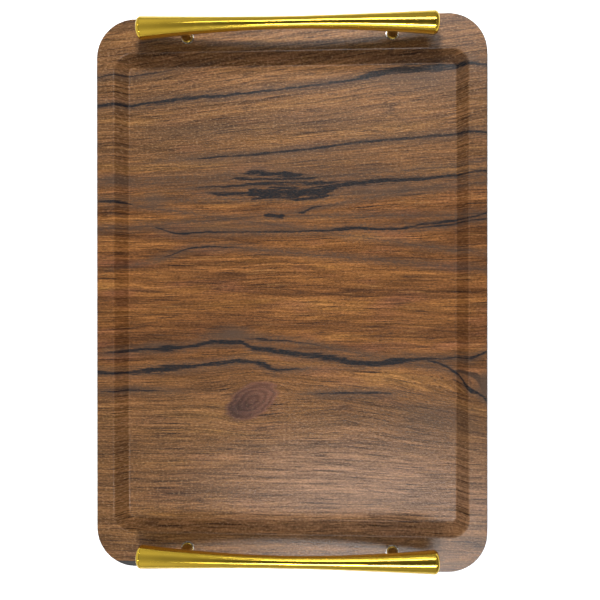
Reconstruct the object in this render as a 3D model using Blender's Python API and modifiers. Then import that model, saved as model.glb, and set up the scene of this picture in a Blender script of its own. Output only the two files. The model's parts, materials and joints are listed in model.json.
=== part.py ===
"""Wood-print serving tray with two arched, flared bar handles. Metres, +Z up.

The origin is the middle of the tray's footprint, on the surface that the tray stands on. +Y runs
along the tray's length, so one handle is at the back (+Y) and one at the front (-Y).

The tray is a thin moulded shell with a printed sheet over its top. Each handle is a bent tube that
flares towards both ends, and domed caps close it. A post stands under each flare. A stud joins the
post to a threaded insert inside the tube, and a screw from under the rim holds it to the tray.
"""

import math

import bmesh
import bpy
from mathutils import Vector

MM = 0.001
GAP = 0.3 * MM  # clearance between pieces that touch on the real tray

# Tray outline and the well in it
TRAY_WIDTH = 245 * MM
TRAY_LENGTH = 346 * MM
OUTER_CORNER = 24.5 * MM
SIDE_RIM = 11.5 * MM
END_RIM = 22 * MM
MOUTH_CORNER = 11.5 * MM
FLOOR_CORNER = 3 * MM
WALL_RUN = 6.3 * MM
WELL_DEPTH = 12 * MM
CORNER_STEPS = 12

# Layers, counted down from the printed top surface
SHEET_THICKNESS = 0.5 * MM
SHELL_THICKNESS = 2.6 * MM
SHELL_TOP = SHEET_THICKNESS + GAP
SHELL_BOTTOM = SHELL_TOP + SHELL_THICKNESS
SHEET_INSET = 0.5 * MM
SHEET_RUNOUT = 3.9 * MM  # how far the askew sheet stops short of the front edge at its left end
FILLET = 0.9 * MM  # reach of the roundings at the well's mouth and floor
FILLET_STEPS = 3
SHELL_EDGE_BEVEL = 0.7 * MM
SHEET_EDGE_BEVEL = 0.12 * MM

FLOOR_Z = SHELL_BOTTOM
RIM_Z = FLOOR_Z + WELL_DEPTH
WALL_SLOPE = math.atan2(WELL_DEPTH, WALL_RUN)

# Handle bars
BAR_HALF = 87.9 * MM
BAR_MIDDLE_R = 3.7 * MM
BAR_END_R = 7.1 * MM
BAR_FLARE = 1.75  # power of the distance from the middle by which the radius grows
BAR_WALL = 1.2 * MM
BAR_RISE = 5.8 * MM
BAR_AXIS_HEIGHT = 27.8 * MM  # at the middle, above the rim
BAR_FROM_EDGE = 12.7 * MM
BAR_RINGS = 16
BAR_STEPS = 24
LIP_BEVEL = 0.35 * MM
CAP_DOME = 2.7 * MM
DOME_POWER = 0.45  # under 1, so that the dome has a flat middle and a round shoulder
DOME_RINGS = 6
SPIGOT_R = 5.3 * MM
SPIGOT_LENGTH = 4 * MM

BEND_RADIUS = (BAR_HALF**2 + BAR_RISE**2) / (2 * BAR_RISE)
HANDLE_Y = TRAY_LENGTH / 2 - BAR_FROM_EDGE

# Posts and what fastens them
POST_SPACING = 128 * MM
POST_R = 3.1 * MM
POST_FOOT_R = 3.5 * MM
POST_FOOT_HEIGHT = 1.4 * MM
THREAD_R = 1.7 * MM  # between an M4 thread's crest and its root
TAPPED_R = THREAD_R + GAP
CLEARANCE_R = 2.3 * MM
FOOT_WASHER_R = 4.1 * MM
FOOT_WASHER_THICKNESS = 0.6 * MM
SCREW_WASHER_R = 4.8 * MM
SCREW_WASHER_THICKNESS = 0.8 * MM
SCREW_HEAD_R = 3.9 * MM
SCREW_HEAD_HEIGHT = 2.5 * MM
SCREW_TIP = 8 * MM  # above the rim
RECESS_LENGTH = 4.2 * MM
RECESS_WIDTH = 0.9 * MM
RECESS_DEPTH = 1.4 * MM
STUD_FOOT = 10 * MM  # above the rim
STUD_ABOVE_AXIS = 2.6 * MM
INSERT_LENGTH = 7 * MM
INSERT_R = 3.9 * MM
ROUND_STEPS = 20

POST_FOOT_Z = FOOT_WASHER_THICKNESS + 2 * GAP
SCREW_WASHER_Z = -SHELL_BOTTOM - GAP - SCREW_WASHER_THICKNESS
SCREW_SEAT_Z = SCREW_WASHER_Z - GAP
SCREW_BOTTOM_Z = SCREW_SEAT_Z - SCREW_HEAD_HEIGHT


# Scene, objects and materials


def clear_scene():
    for obj in list(bpy.data.objects):
        bpy.data.objects.remove(obj)


def new_collection(name):
    made = bpy.data.collections.new(name)
    bpy.context.scene.collection.children.link(made)
    return made


def new_material(name, colour, roughness, metallic=0.0):
    made = bpy.data.materials.new(name)
    made.use_nodes = True
    shader = made.node_tree.nodes["Principled BSDF"]
    shader.inputs["Base Color"].default_value = (*colour, 1)
    shader.inputs["Roughness"].default_value = roughness
    shader.inputs["Metallic"].default_value = metallic
    return made


def add_part(name, mesh, material, parent=None, location=(0, 0, 0), tilt=0.0):
    """Adds a piece of the tray. The tilt is about Y."""
    made = bpy.data.objects.new(name, mesh)
    tray.objects.link(made)
    made.parent = parent
    made.location = location
    made.rotation_euler = (0, tilt, 0)
    mesh.materials.append(material)
    return made


def add_cutter(name, mesh, parent=None, location=(0, 0, 0)):
    made = bpy.data.objects.new(name, mesh)
    cutters.objects.link(made)
    made.parent = parent
    made.location = location
    made.hide_render = True
    made.display_type = "WIRE"
    return made


def add_empty(name, location):
    made = bpy.data.objects.new(name, None)
    tray.objects.link(made)
    made.location = location
    return made


def cut(obj, cutter):
    boolean = obj.modifiers.new("Cut " + cutter.name, "BOOLEAN")
    boolean.operation = "DIFFERENCE"
    boolean.solver = "EXACT"
    boolean.object = cutter


# Shapes


def shade_round(mesh):
    mesh.shade_smooth()
    mesh.set_sharp_from_angle(angle=math.radians(35))


def mesh_from(bm, name):
    mesh = bpy.data.meshes.new(name)
    bm.to_mesh(mesh)
    bm.free()
    shade_round(mesh)
    return mesh


def cylinder(name, radius, bottom, top):
    """A closed cylinder on the Z axis."""
    bm = bmesh.new()
    bmesh.ops.create_cone(
        bm, segments=ROUND_STEPS, radius1=radius, radius2=radius, depth=top - bottom, cap_ends=True
    )
    bmesh.ops.translate(bm, vec=(0, 0, (top + bottom) / 2), verts=bm.verts)
    return mesh_from(bm, name)


def block(name, size, centre):
    bm = bmesh.new()
    bmesh.ops.create_cube(bm, size=1)
    bmesh.ops.scale(bm, vec=size, verts=bm.verts)
    bmesh.ops.translate(bm, vec=centre, verts=bm.verts)
    return mesh_from(bm, name)


def turned(name, profile, steps=ROUND_STEPS):
    """A mesh turned about Z. The profile's (radius, height) points run down its outer side.

    A profile that starts off the axis is closed into a loop, and makes a ring.
    """
    profile_mesh = bpy.data.meshes.new(name + "_profile")
    edges = [(i, i + 1) for i in range(len(profile) - 1)]
    if profile[0][0] > 0:
        edges.append((len(profile) - 1, 0))
    profile_mesh.from_pydata([(radius, 0, height) for radius, height in profile], edges, [])
    lathe = add_cutter(name + "_lathe", profile_mesh)
    screw = lathe.modifiers.new("Turn", "SCREW")
    screw.steps = steps
    screw.render_steps = steps
    screw.use_merge_vertices = True
    screw.merge_threshold = 0.00001
    bpy.context.view_layer.update()
    graph = bpy.context.evaluated_depsgraph_get()
    mesh = bpy.data.meshes.new_from_object(lathe.evaluated_get(graph))
    bpy.data.objects.remove(lathe)
    shade_round(mesh)
    return mesh


def washer(name, radius, bottom, thickness):
    top = bottom + thickness
    profile = [(CLEARANCE_R, top), (radius, top), (radius, bottom), (CLEARANCE_R, bottom)]
    return turned(name, profile)


# The shell and its printed sheet


def rounded_loop(half_x, half_y, radius, z):
    """The points of a rounded rectangle at height z, anticlockwise from the right-hand side."""
    points = []
    for quarter, (side_x, side_y) in enumerate([(1, 1), (-1, 1), (-1, -1), (1, -1)]):
        centre = Vector((side_x * (half_x - radius), side_y * (half_y - radius), z))
        for step in range(CORNER_STEPS + 1):
            angle = math.pi / 2 * (quarter + step / CORNER_STEPS)
            points.append(centre + radius * Vector((math.cos(angle), math.sin(angle), 0)))
    return points


def edge_loop(depth, inset):
    """The tray's outline on the rim at this depth, inset from its outermost edge."""
    half_x = TRAY_WIDTH / 2 - inset
    half_y = TRAY_LENGTH / 2 - inset
    return rounded_loop(half_x, half_y, OUTER_CORNER - inset, RIM_Z - depth)


def mouth_loop(depth):
    """Where the rim turns down into the well's wall, on the surface at this depth."""
    outwards = depth * math.tan(WALL_SLOPE / 2)
    half_x = TRAY_WIDTH / 2 - SIDE_RIM + outwards
    half_y = TRAY_LENGTH / 2 - END_RIM + outwards
    return rounded_loop(half_x, half_y, MOUTH_CORNER + outwards, RIM_Z - depth)


def floor_loop(depth):
    """Where the well's wall turns into its floor, on the surface at this depth."""
    outwards = depth * math.tan(WALL_SLOPE / 2)
    half_x = TRAY_WIDTH / 2 - SIDE_RIM - WALL_RUN + outwards
    half_y = TRAY_LENGTH / 2 - END_RIM - WALL_RUN + outwards
    return rounded_loop(half_x, half_y, FLOOR_CORNER + outwards, FLOOR_Z - depth)


def add_layer(name, material, top, bottom, inset, edge_bevel):
    """A closed layer of the tray, lofted from the floor out over the rim and back underneath."""
    sections = [
        (floor_loop(top), FILLET),
        (mouth_loop(top), FILLET),
        (edge_loop(top, inset), edge_bevel),
        (edge_loop(bottom, inset), edge_bevel),
        (mouth_loop(bottom), FILLET),
        (floor_loop(bottom), FILLET),
    ]
    bm = bmesh.new()
    weight = bm.edges.layers.float.new("bevel_weight_edge")
    rings = [[bm.verts.new(point) for point in points] for points, _ in sections]
    for ring, following in zip(rings, rings[1:]):
        for i in range(-1, len(ring) - 1):
            bm.faces.new((ring[i], following[i], following[i + 1], ring[i + 1]))
    bm.faces.new(rings[0])
    bm.faces.new(rings[-1][::-1])
    for ring, (_, bevel) in zip(rings, sections):
        for i, vert in enumerate(ring):
            bm.edges.get((ring[i - 1], vert))[weight] = bevel / FILLET
    layer = add_part(name, mesh_from(bm, name), material)
    rounding = layer.modifiers.new("Round", "BEVEL")
    rounding.limit_method = "WEIGHT"
    rounding.width = FILLET
    rounding.segments = FILLET_STEPS
    return layer


def runout_cutter():
    """A slab along the sheet's front edge, turned so that it bites most at the left."""
    slab = block("runout", (2 * TRAY_WIDTH, END_RIM, END_RIM), (0, -END_RIM / 2, 0))
    made = add_cutter("cut_runout", slab, None, (TRAY_WIDTH / 2, -TRAY_LENGTH / 2, RIM_Z))
    made.rotation_euler = (0, 0, -math.atan2(SHEET_RUNOUT, TRAY_WIDTH))
    return made


# Handles. Each is built in its own frame: on the rim, under the bar's middle, with the bar along X.


def bar_radius(x):
    return BAR_MIDDLE_R + (BAR_END_R - BAR_MIDDLE_R) * abs(x / BAR_HALF) ** BAR_FLARE


def on_arc(angle):
    """The point of the bar's bent axis at this angle from its middle, which is also its lean there."""
    drop = BEND_RADIUS * (1 - math.cos(angle))
    return (BEND_RADIUS * math.sin(angle), 0, BAR_AXIS_HEIGHT - drop)


def bent(mesh):
    """Lays a mesh turned about Z along X, and bends it on to the bar's arc."""
    for vertex in mesh.vertices:
        x, y, z = vertex.co
        angle = z / BEND_RADIUS
        along, _, height = on_arc(angle)
        vertex.co = (along - x * math.sin(angle), y, height - x * math.cos(angle))
    return mesh


def flared_side(half, offset):
    """Profile points down a flared side between half and -half, offset from the bar's surface."""
    places = [half * (1 - 2 * i / BAR_RINGS) for i in range(BAR_RINGS + 1)]
    return [(bar_radius(x) + offset, x) for x in places]


def bar_mesh():
    """The tube, with its outer lips bevelled."""
    outer = flared_side(BAR_HALF - LIP_BEVEL, 0)
    inner = flared_side(BAR_HALF, -BAR_WALL)[::-1]
    lip = BAR_END_R - LIP_BEVEL
    profile = [(lip, BAR_HALF), *outer, (lip, -BAR_HALF), *inner]
    return bent(turned("handle_bar", profile, BAR_STEPS))


def bar_envelope():
    """The bar near its posts as a solid, larger by the gap. It shapes the saddle on a post."""
    half = POST_SPACING / 2 + 4 * POST_R
    profile = [(0, half), *flared_side(half, GAP), (0, -half)]
    return bent(turned("envelope", profile, BAR_STEPS))


def cap_mesh():
    """A domed cap, facing +Z, with a spigot that fits inside the tube's end."""
    shoulder = GAP + LIP_BEVEL
    dome_height = CAP_DOME - LIP_BEVEL
    angles = [math.pi / 2 * i / DOME_RINGS for i in range(DOME_RINGS)]
    dome = [
        (BAR_END_R * math.sin(angle) ** DOME_POWER, shoulder + dome_height * math.cos(angle))
        for angle in angles
    ]
    profile = [
        *dome,
        (BAR_END_R, shoulder),
        (BAR_END_R - LIP_BEVEL, GAP),
        (SPIGOT_R, GAP),
        (SPIGOT_R, -SPIGOT_LENGTH),
        (0, -SPIGOT_LENGTH),
    ]
    return turned("end_cap", profile, BAR_STEPS)


def post_mesh(axis_height):
    """A tapped pillar on a slightly wider foot. Its top reaches into the bar's envelope."""
    shoulder = POST_FOOT_Z + POST_FOOT_HEIGHT
    top = axis_height - BAR_MIDDLE_R
    profile = [
        (TAPPED_R, top),
        (POST_R, top),
        (POST_R, shoulder),
        (POST_FOOT_R, shoulder - (POST_FOOT_R - POST_R)),
        (POST_FOOT_R, POST_FOOT_Z),
        (TAPPED_R, POST_FOOT_Z),
    ]
    return turned("handle_post", profile)


def screw_mesh():
    """A pan-head screw, head down, whose shank goes up through the rim into the post."""
    profile = [
        (0, SCREW_TIP),
        (THREAD_R, SCREW_TIP),
        (THREAD_R, SCREW_SEAT_Z),
        (SCREW_HEAD_R, SCREW_SEAT_Z),
        (SCREW_HEAD_R, SCREW_SEAT_Z - 0.6 * SCREW_HEAD_HEIGHT),
        (0.93 * SCREW_HEAD_R, SCREW_SEAT_Z - 0.82 * SCREW_HEAD_HEIGHT),
        (0.72 * SCREW_HEAD_R, SCREW_BOTTOM_Z),
        (0, SCREW_BOTTOM_Z),
    ]
    return turned("mounting_screw", profile)


def cut_recess(screw, name, handle, place):
    """Cuts a cross into the screw's head."""
    sizes = [(RECESS_LENGTH, RECESS_WIDTH), (RECESS_WIDTH, RECESS_LENGTH)]
    for number, (length, width) in enumerate(sizes, 1):
        arm = block("recess", (length, width, 2 * RECESS_DEPTH), (0, 0, SCREW_BOTTOM_Z))
        cut(screw, add_cutter(f"cut_recess_{name}_{number}", arm, handle, place))


def add_post(name, x, handle, bar, envelope):
    """A post under the bar, with the fasteners and washers on its axis."""
    foot = (x, 0, 0)
    lean = math.asin(x / BEND_RADIUS)
    joint = on_arc(lean)
    through = 2 * BAR_END_R
    plug = cylinder("bar_insert", INSERT_R, -INSERT_LENGTH / 2, INSERT_LENGTH / 2)
    rod = cylinder("post_stud", THREAD_R, STUD_FOOT, joint[2] + STUD_ABOVE_AXIS)
    pale_ring = washer("foot_washer", FOOT_WASHER_R, GAP, FOOT_WASHER_THICKNESS)
    steel_ring = washer("screw_washer", SCREW_WASHER_R, SCREW_WASHER_Z, SCREW_WASHER_THICKNESS)
    tap = cylinder("tap", TAPPED_R, -through, through)
    drill = cylinder("drill", TAPPED_R, -through, 0)

    insert = add_part(f"bar_insert_{name}", plug, steel, handle, joint, math.pi / 2 + lean)
    post = add_part(f"handle_post_{name}", post_mesh(joint[2]), gold, handle, foot)
    screw = add_part(f"mounting_screw_{name}", screw_mesh(), steel, handle, foot)
    add_part(f"post_stud_{name}", rod, steel, handle, foot)
    add_part(f"foot_washer_{name}", pale_ring, nylon, handle, foot)
    add_part(f"screw_washer_{name}", steel_ring, steel, handle, foot)

    cut(insert, add_cutter(f"cut_tap_{name}", tap, handle, joint))
    cut(bar, add_cutter(f"cut_drill_{name}", drill, handle, joint))
    cut(post, envelope)
    cut_recess(screw, name, handle, foot)


def add_handle(end, y, layers):
    """One handle, and its screws' holes through each of the tray's layers."""
    handle = add_empty(f"handle_{end}", (0, y, RIM_Z))
    bar = add_part(f"handle_bar_{end}", bar_mesh(), gold, handle)
    envelope = add_cutter(f"envelope_{end}", bar_envelope(), handle)
    for side_name, side in (("left", -1), ("right", 1)):
        name = f"{end}_{side_name}"
        x = side * POST_SPACING / 2
        add_post(name, x, handle, bar, envelope)

        end_angle = side * BAR_HALF / BEND_RADIUS
        facing = side * math.pi / 2 + end_angle
        add_part(f"end_cap_{name}", cap_mesh(), gold, handle, on_arc(end_angle), facing)

        hole = cylinder("hole", CLEARANCE_R, -2 * SHELL_BOTTOM, SHELL_BOTTOM)
        hole_cutter = add_cutter(f"cut_hole_{name}", hole, handle, (x, 0, 0))
        for layer in layers:
            cut(layer, hole_cutter)


clear_scene()
tray = new_collection("serving_tray")
cutters = new_collection("cutters")
wood = new_material("wood_print", (0.24, 0.125, 0.06), 0.45)
black = new_material("black_shell", (0.028, 0.026, 0.026), 0.5)
gold = new_material("gold_plate", (0.75, 0.52, 0.12), 0.14, 1.0)
steel = new_material("zinc_steel", (0.56, 0.57, 0.58), 0.3, 1.0)
nylon = new_material("clear_nylon", (0.72, 0.68, 0.62), 0.35)

shell = add_layer("tray_shell", black, SHELL_TOP, SHELL_BOTTOM, 0, SHELL_EDGE_BEVEL)
sheet = add_layer("wood_print_sheet", wood, 0, SHEET_THICKNESS, SHEET_INSET, SHEET_EDGE_BEVEL)
cut(sheet, runout_cutter())
add_handle("back", HANDLE_Y, (shell, sheet))
add_handle("front", -HANDLE_Y, (shell, sheet))
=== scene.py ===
"""The looks of a wood-print serving tray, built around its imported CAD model. Metres, +Z up.

Every piece that shows is built again with finer curves, from the CAD boxes and the dimensions
below. The studs and inserts inside the handles stay as the CAD has them, with a better finish.
Meshes hold their places in their vertices, so object coordinates are the tray's own coordinates
in every material: x across the tray and along its grain, y along its length.
"""

import json
import math

import bmesh
import bpy
from mathutils import Matrix, Vector

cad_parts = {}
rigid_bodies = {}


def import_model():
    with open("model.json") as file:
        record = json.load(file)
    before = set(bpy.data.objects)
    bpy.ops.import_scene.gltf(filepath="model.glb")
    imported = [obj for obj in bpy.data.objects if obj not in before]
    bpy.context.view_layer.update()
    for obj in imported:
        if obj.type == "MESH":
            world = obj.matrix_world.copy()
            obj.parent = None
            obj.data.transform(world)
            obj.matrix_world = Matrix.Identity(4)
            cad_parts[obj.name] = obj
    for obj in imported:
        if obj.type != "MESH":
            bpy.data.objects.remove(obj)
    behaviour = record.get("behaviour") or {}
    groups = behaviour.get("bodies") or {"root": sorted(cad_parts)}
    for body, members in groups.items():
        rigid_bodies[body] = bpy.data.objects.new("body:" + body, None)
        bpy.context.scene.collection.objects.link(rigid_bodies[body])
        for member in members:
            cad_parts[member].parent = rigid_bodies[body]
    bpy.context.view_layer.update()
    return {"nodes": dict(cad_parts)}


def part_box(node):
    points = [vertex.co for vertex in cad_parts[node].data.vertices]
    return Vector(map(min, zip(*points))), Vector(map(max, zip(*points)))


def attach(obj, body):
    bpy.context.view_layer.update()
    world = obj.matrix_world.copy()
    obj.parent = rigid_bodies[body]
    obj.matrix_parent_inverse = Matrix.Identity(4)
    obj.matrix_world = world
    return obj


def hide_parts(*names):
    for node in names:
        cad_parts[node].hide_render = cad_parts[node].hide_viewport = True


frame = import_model()

MM = 0.001
GAP = 0.3 * MM

# The two layers of the tray
SHEET_THICKNESS = 0.5 * MM
SHELL_THICKNESS = 2.6 * MM
SHELL_TOP = SHEET_THICKNESS + GAP
SHELL_BOTTOM = SHELL_TOP + SHELL_THICKNESS
OUTER_CORNER = 24.5 * MM
SIDE_RIM = 11.5 * MM
END_RIM = 22 * MM
MOUTH_CORNER = 11.5 * MM
FLOOR_CORNER = 3 * MM
WALL_RUN = 6.3 * MM
SHEET_INSET = 0.5 * MM
SHEET_RUNOUT = 3.9 * MM
FILLET = 0.9 * MM
SHELL_EDGE_BEVEL = 0.7 * MM
SHEET_EDGE_BEVEL = 0.12 * MM
HOLE_TOP = 3 * MM
HOLE_BOTTOM = -6 * MM
CORNER_STEPS = 32
FILLET_STEPS = 8
SMOOTH_UP_TO = 32  # degrees between faces
FLAT_FACE_WEIGHT = 80

_, shell_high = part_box("tray_shell")
sheet_low, sheet_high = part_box("wood_print_sheet")
HALF_X = shell_high.x
HALF_Y = shell_high.y
RIM_Z = sheet_high.z
FLOOR_Z = sheet_low.z + SHEET_THICKNESS
WALL_SLOPE = math.atan2(RIM_Z - FLOOR_Z, WALL_RUN)

# Handles
BAR_HALF = 87.9 * MM
BAR_MIDDLE_R = 3.7 * MM
BAR_FLARE = 1.75
BAR_WALL = 1.2 * MM
BAR_RISE = 5.8 * MM
LIP_BEVEL = 0.15 * MM
CAP_SEAM = 0.1 * MM
CAP_DOME = 2.7 * MM
DOME_POWER = 0.45
SPIGOT_R = 5.3 * MM
SPIGOT_LENGTH = 4 * MM
BEND_RADIUS = (BAR_HALF**2 + BAR_RISE**2) / (2 * BAR_RISE)
BAR_RINGS = 72
BAR_STEPS = 96
SADDLE_STEPS = 24
DOME_STEPS = 20
ARC_STEPS = 6

bar_low, bar_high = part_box("handle_bar_back")
BAR_END_R = (bar_high.y - bar_low.y) / 2
BAR_AXIS_Z = bar_high.z - BAR_MIDDLE_R

# Posts and fasteners
POST_R = 3.1 * MM
POST_FOOT_R = 3.5 * MM
POST_FOOT_HEIGHT = 1.4 * MM
POST_EDGE = 0.2 * MM
TAPPED_R = 2 * MM
THREAD_R = 1.7 * MM
CLEARANCE_R = 2.3 * MM
SCREW_HEAD_R = 3.9 * MM
SCREW_HEAD_HEIGHT = 2.5 * MM
SCREW_CROWN = 1.5 * MM
SCREW_CHAMFER = 0.5 * MM
SCREW_EDGE = 0.1 * MM
RECESS_LENGTH = 4.2 * MM
RECESS_WIDTH = 0.9 * MM
RECESS_DEPTH = 1.4 * MM
RECESS_TAPER = 0.7
WASHER_ROUNDING = 0.4  # of half its thickness
POST_STEPS = 64
MERGE_DISTANCE = 0.001 * MM

# Lights and floor. Places and lengths in metres, powers in watts, spread in degrees
LAMP_X = 0.02
LAMP_Y = 0.298
LAMP_Z = 0.57
LAMP_LENGTH = 0.08
LAMP_WIDTH = 0.035
LAMP_AIM_Y = 0.14
LAMP_SPREAD = 130
LAMP_POWERS = {"back": 2.2, "front": 1.3}
SHEEN_X = 0.11
SHEEN_Y = 0.37
SHEEN_LENGTH = 0.42
SHEEN_WIDTH = 0.06
SHEEN_POWERS = {"back": 1.3, "front": 3.1}
STRIP_X = 0.02
STRIP_Y = 0.27
STRIP_Z = 0.25
STRIP_LENGTH = 0.27
STRIP_WIDTH = 0.03
STRIP_POWER = 0.12
PANEL_SIZE = 0.4
LOW_PANELS = {"low_left": ((-0.35, -0.3, -0.5), 4.0), "low_right": ((0.4, 0.35, -0.4), 2.5)}
FILL_SHARE = 0.16  # how much of what the tray mirrors of the room also lights it
FLOOR_HALF = 3.0
FLOOR_DROP = 0.2 * MM
FLOOR_LIFT = 0.60  # keeps the paper near white for the camera, and adds no light to the tray

# Camera. Its turns are in radians
CAMERA_PLACE = (43.5 * MM, -2.8 * MM, RIM_Z + 566 * MM)
CAMERA_TURN_X = -0.003
CAMERA_TURN_Y = 0.065
CAMERA_LENS = 54.54
CAMERA_SENSOR = 36


# Meshes


def arc(centre_r, centre_z, radius, start, end):
    """Profile points on an arc, from one angle to another in degrees above the horizontal."""
    angles = [math.radians(start + (end - start) * i / ARC_STEPS) for i in range(ARC_STEPS + 1)]
    return [(centre_r + radius * math.cos(a), centre_z + radius * math.sin(a)) for a in angles]


def link(name, mesh):
    made = bpy.data.objects.new(name, mesh)
    bpy.context.scene.collection.objects.link(made)
    return made


def mesh_from(bm, name):
    mesh = bpy.data.meshes.new(name)
    bm.to_mesh(mesh)
    bm.free()
    return mesh


def lathe(name, profile, steps):
    """Turns (radius, height) points, listed down the outer side, about Z.

    A profile that starts off the axis is closed into a loop, and makes a ring.
    """
    bm = bmesh.new()
    turns = [2 * math.pi * i / steps for i in range(steps)]
    rings = []
    for radius, height in profile:
        if radius == 0:
            rings.append([bm.verts.new((0, 0, height))] * steps)
        else:
            points = [(radius * math.cos(a), radius * math.sin(a), height) for a in turns]
            rings.append([bm.verts.new(point) for point in points])
    following = rings[1:] + rings[:1] if profile[0][0] > 0 else rings[1:]
    for upper, lower in zip(rings, following):
        for i in range(-1, steps - 1):
            corners = (upper[i], lower[i], lower[i + 1], upper[i + 1])
            bm.faces.new(list(dict.fromkeys(corners)))
    return mesh_from(bm, name)


def block(name, size, centre, taper=1.0):
    """A box whose lower side is the taper's share of its upper one."""
    bm = bmesh.new()
    bmesh.ops.create_cube(bm, size=1)
    for vert in bm.verts:
        share = taper if vert.co.z < 0 else 1
        vert.co = Vector(vert.co) * Vector(size)
        vert.co.x *= share
        vert.co.y *= share
        vert.co += Vector(centre)
    return mesh_from(bm, name)


def evaluated(obj):
    bpy.context.view_layer.update()
    graph = bpy.context.evaluated_depsgraph_get()
    return bpy.data.meshes.new_from_object(obj.evaluated_get(graph))


def carved(mesh, *cutters):
    """The mesh with each cutter's shape taken out of it."""
    blank = link("blank", mesh)
    tools = [link("tool", cutter) for cutter in cutters]
    for tool in tools:
        boolean = blank.modifiers.new("Cut", "BOOLEAN")
        boolean.operation = "DIFFERENCE"
        boolean.solver = "EXACT"
        boolean.object = tool
    made = evaluated(blank)
    for obj in (blank, *tools):
        bpy.data.objects.remove(obj)
    return made


def merged(mesh):
    """The mesh with the points joined that a cut left on top of each other."""
    bm = bmesh.new()
    bm.from_mesh(mesh)
    bmesh.ops.remove_doubles(bm, verts=bm.verts, dist=MERGE_DISTANCE)
    return mesh_from(bm, mesh.name)


def moved(mesh, place, tilt=0.0):
    """The mesh turned about Y by the tilt, then moved."""
    mesh.transform(Matrix.Translation(place) @ Matrix.Rotation(tilt, 4, "Y"))
    return mesh


def add_piece(name, mesh, material, slot, *nodes):
    """A finished piece that stands for these CAD nodes."""
    mesh.materials.clear()
    mesh.materials.append(material)
    mesh.shade_smooth()
    mesh.set_sharp_from_angle(angle=math.radians(SMOOTH_UP_TO))
    made = link(name, mesh)
    weighted = made.modifiers.new("Flat faces stay flat", "WEIGHTED_NORMAL")
    weighted.keep_sharp = True
    weighted.weight = FLAT_FACE_WEIGHT
    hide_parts(*nodes)
    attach(made, "root")
    return made


# The shell and its printed sheet


def rounded_loop(half_x, half_y, radius, z):
    points = []
    for quarter, (side_x, side_y) in enumerate([(1, 1), (-1, 1), (-1, -1), (1, -1)]):
        centre = Vector((side_x * (half_x - radius), side_y * (half_y - radius), z))
        for step in range(CORNER_STEPS + 1):
            angle = math.pi / 2 * (quarter + step / CORNER_STEPS)
            points.append(centre + radius * Vector((math.cos(angle), math.sin(angle), 0)))
    return points


def edge_loop(depth, inset):
    return rounded_loop(HALF_X - inset, HALF_Y - inset, OUTER_CORNER - inset, RIM_Z - depth)


def mouth_loop(depth):
    out = depth * math.tan(WALL_SLOPE / 2)
    half_x = HALF_X - SIDE_RIM + out
    half_y = HALF_Y - END_RIM + out
    return rounded_loop(half_x, half_y, MOUTH_CORNER + out, RIM_Z - depth)


def floor_loop(depth):
    out = depth * math.tan(WALL_SLOPE / 2)
    half_x = HALF_X - SIDE_RIM - WALL_RUN + out
    half_y = HALF_Y - END_RIM - WALL_RUN + out
    return rounded_loop(half_x, half_y, FLOOR_CORNER + out, FLOOR_Z - depth)


def layer_mesh(name, top, bottom, inset, edge_bevel):
    """A layer of the tray, lofted from the floor out over the rim and back underneath."""
    sections = [
        (floor_loop(top), FILLET),
        (mouth_loop(top), FILLET),
        (edge_loop(top, inset), edge_bevel),
        (edge_loop(bottom, inset), edge_bevel),
        (mouth_loop(bottom), FILLET),
        (floor_loop(bottom), FILLET),
    ]
    bm = bmesh.new()
    weight = bm.edges.layers.float.new("bevel_weight_edge")
    rings = [[bm.verts.new(point) for point in points] for points, _ in sections]
    for ring, following in zip(rings, rings[1:]):
        for i in range(-1, len(ring) - 1):
            bm.faces.new((ring[i], following[i], following[i + 1], ring[i + 1]))
    bm.faces.new(rings[0])
    bm.faces.new(rings[-1][::-1])
    for ring, (_, bevel) in zip(rings, sections):
        for i, vert in enumerate(ring):
            bm.edges.get((ring[i - 1], vert))[weight] = bevel / FILLET
    rough = link("rough", mesh_from(bm, name))
    rounding = rough.modifiers.new("Round", "BEVEL")
    rounding.limit_method = "WEIGHT"
    rounding.width = FILLET
    rounding.segments = FILLET_STEPS
    made = evaluated(rough)
    bpy.data.objects.remove(rough)
    return made


def screw_holes():
    """A cutter for each mounting screw's hole through the rim."""
    made = []
    for name in CORNERS:
        profile = [(0, HOLE_TOP), (CLEARANCE_R, HOLE_TOP)]
        profile += [(CLEARANCE_R, HOLE_BOTTOM), (0, HOLE_BOTTOM)]
        x, y = post_place(name)
        made.append(moved(lathe("hole", profile, POST_STEPS), (x, y, RIM_Z)))
    return made


def runout_cutter():
    """A slab along the sheet's front edge, turned so that it bites most at the left."""
    slab = block("runout", (4 * HALF_X, END_RIM, END_RIM), (0, -END_RIM / 2, 0))
    lean = -math.atan2(SHEET_RUNOUT, 2 * HALF_X)
    place = Matrix.Translation((HALF_X, -HALF_Y, RIM_Z))
    slab.transform(place @ Matrix.Rotation(lean, 4, "Z"))
    return slab


# Handles


def handle_y(end):
    low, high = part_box(f"handle_bar_{end}")
    return (low.y + high.y) / 2


def post_place(name):
    low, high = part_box(f"handle_post_{name}")
    return (low.x + high.x) / 2, (low.y + high.y) / 2


def bar_radius(x):
    return BAR_MIDDLE_R + (BAR_END_R - BAR_MIDDLE_R) * abs(x / BAR_HALF) ** BAR_FLARE


def angle_at(x):
    """The angle from a bar's middle at which its axis is this far along X."""
    return math.asin(x / BEND_RADIUS)


def on_arc(angle, y):
    """The point of a bar's axis at this angle from its middle."""
    drop = BEND_RADIUS * (1 - math.cos(angle))
    return Vector((BEND_RADIUS * math.sin(angle), y, BAR_AXIS_Z - drop))


def bent(mesh, y):
    """Lays a mesh turned about Z along X, and bends it on to a bar's arc."""
    for vertex in mesh.vertices:
        across, side, along = vertex.co
        angle = along / BEND_RADIUS
        axis = on_arc(angle, y)
        out = Vector((-math.sin(angle), 0, -math.cos(angle)))
        vertex.co = axis + across * out + Vector((0, side, 0))
    return mesh


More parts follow.
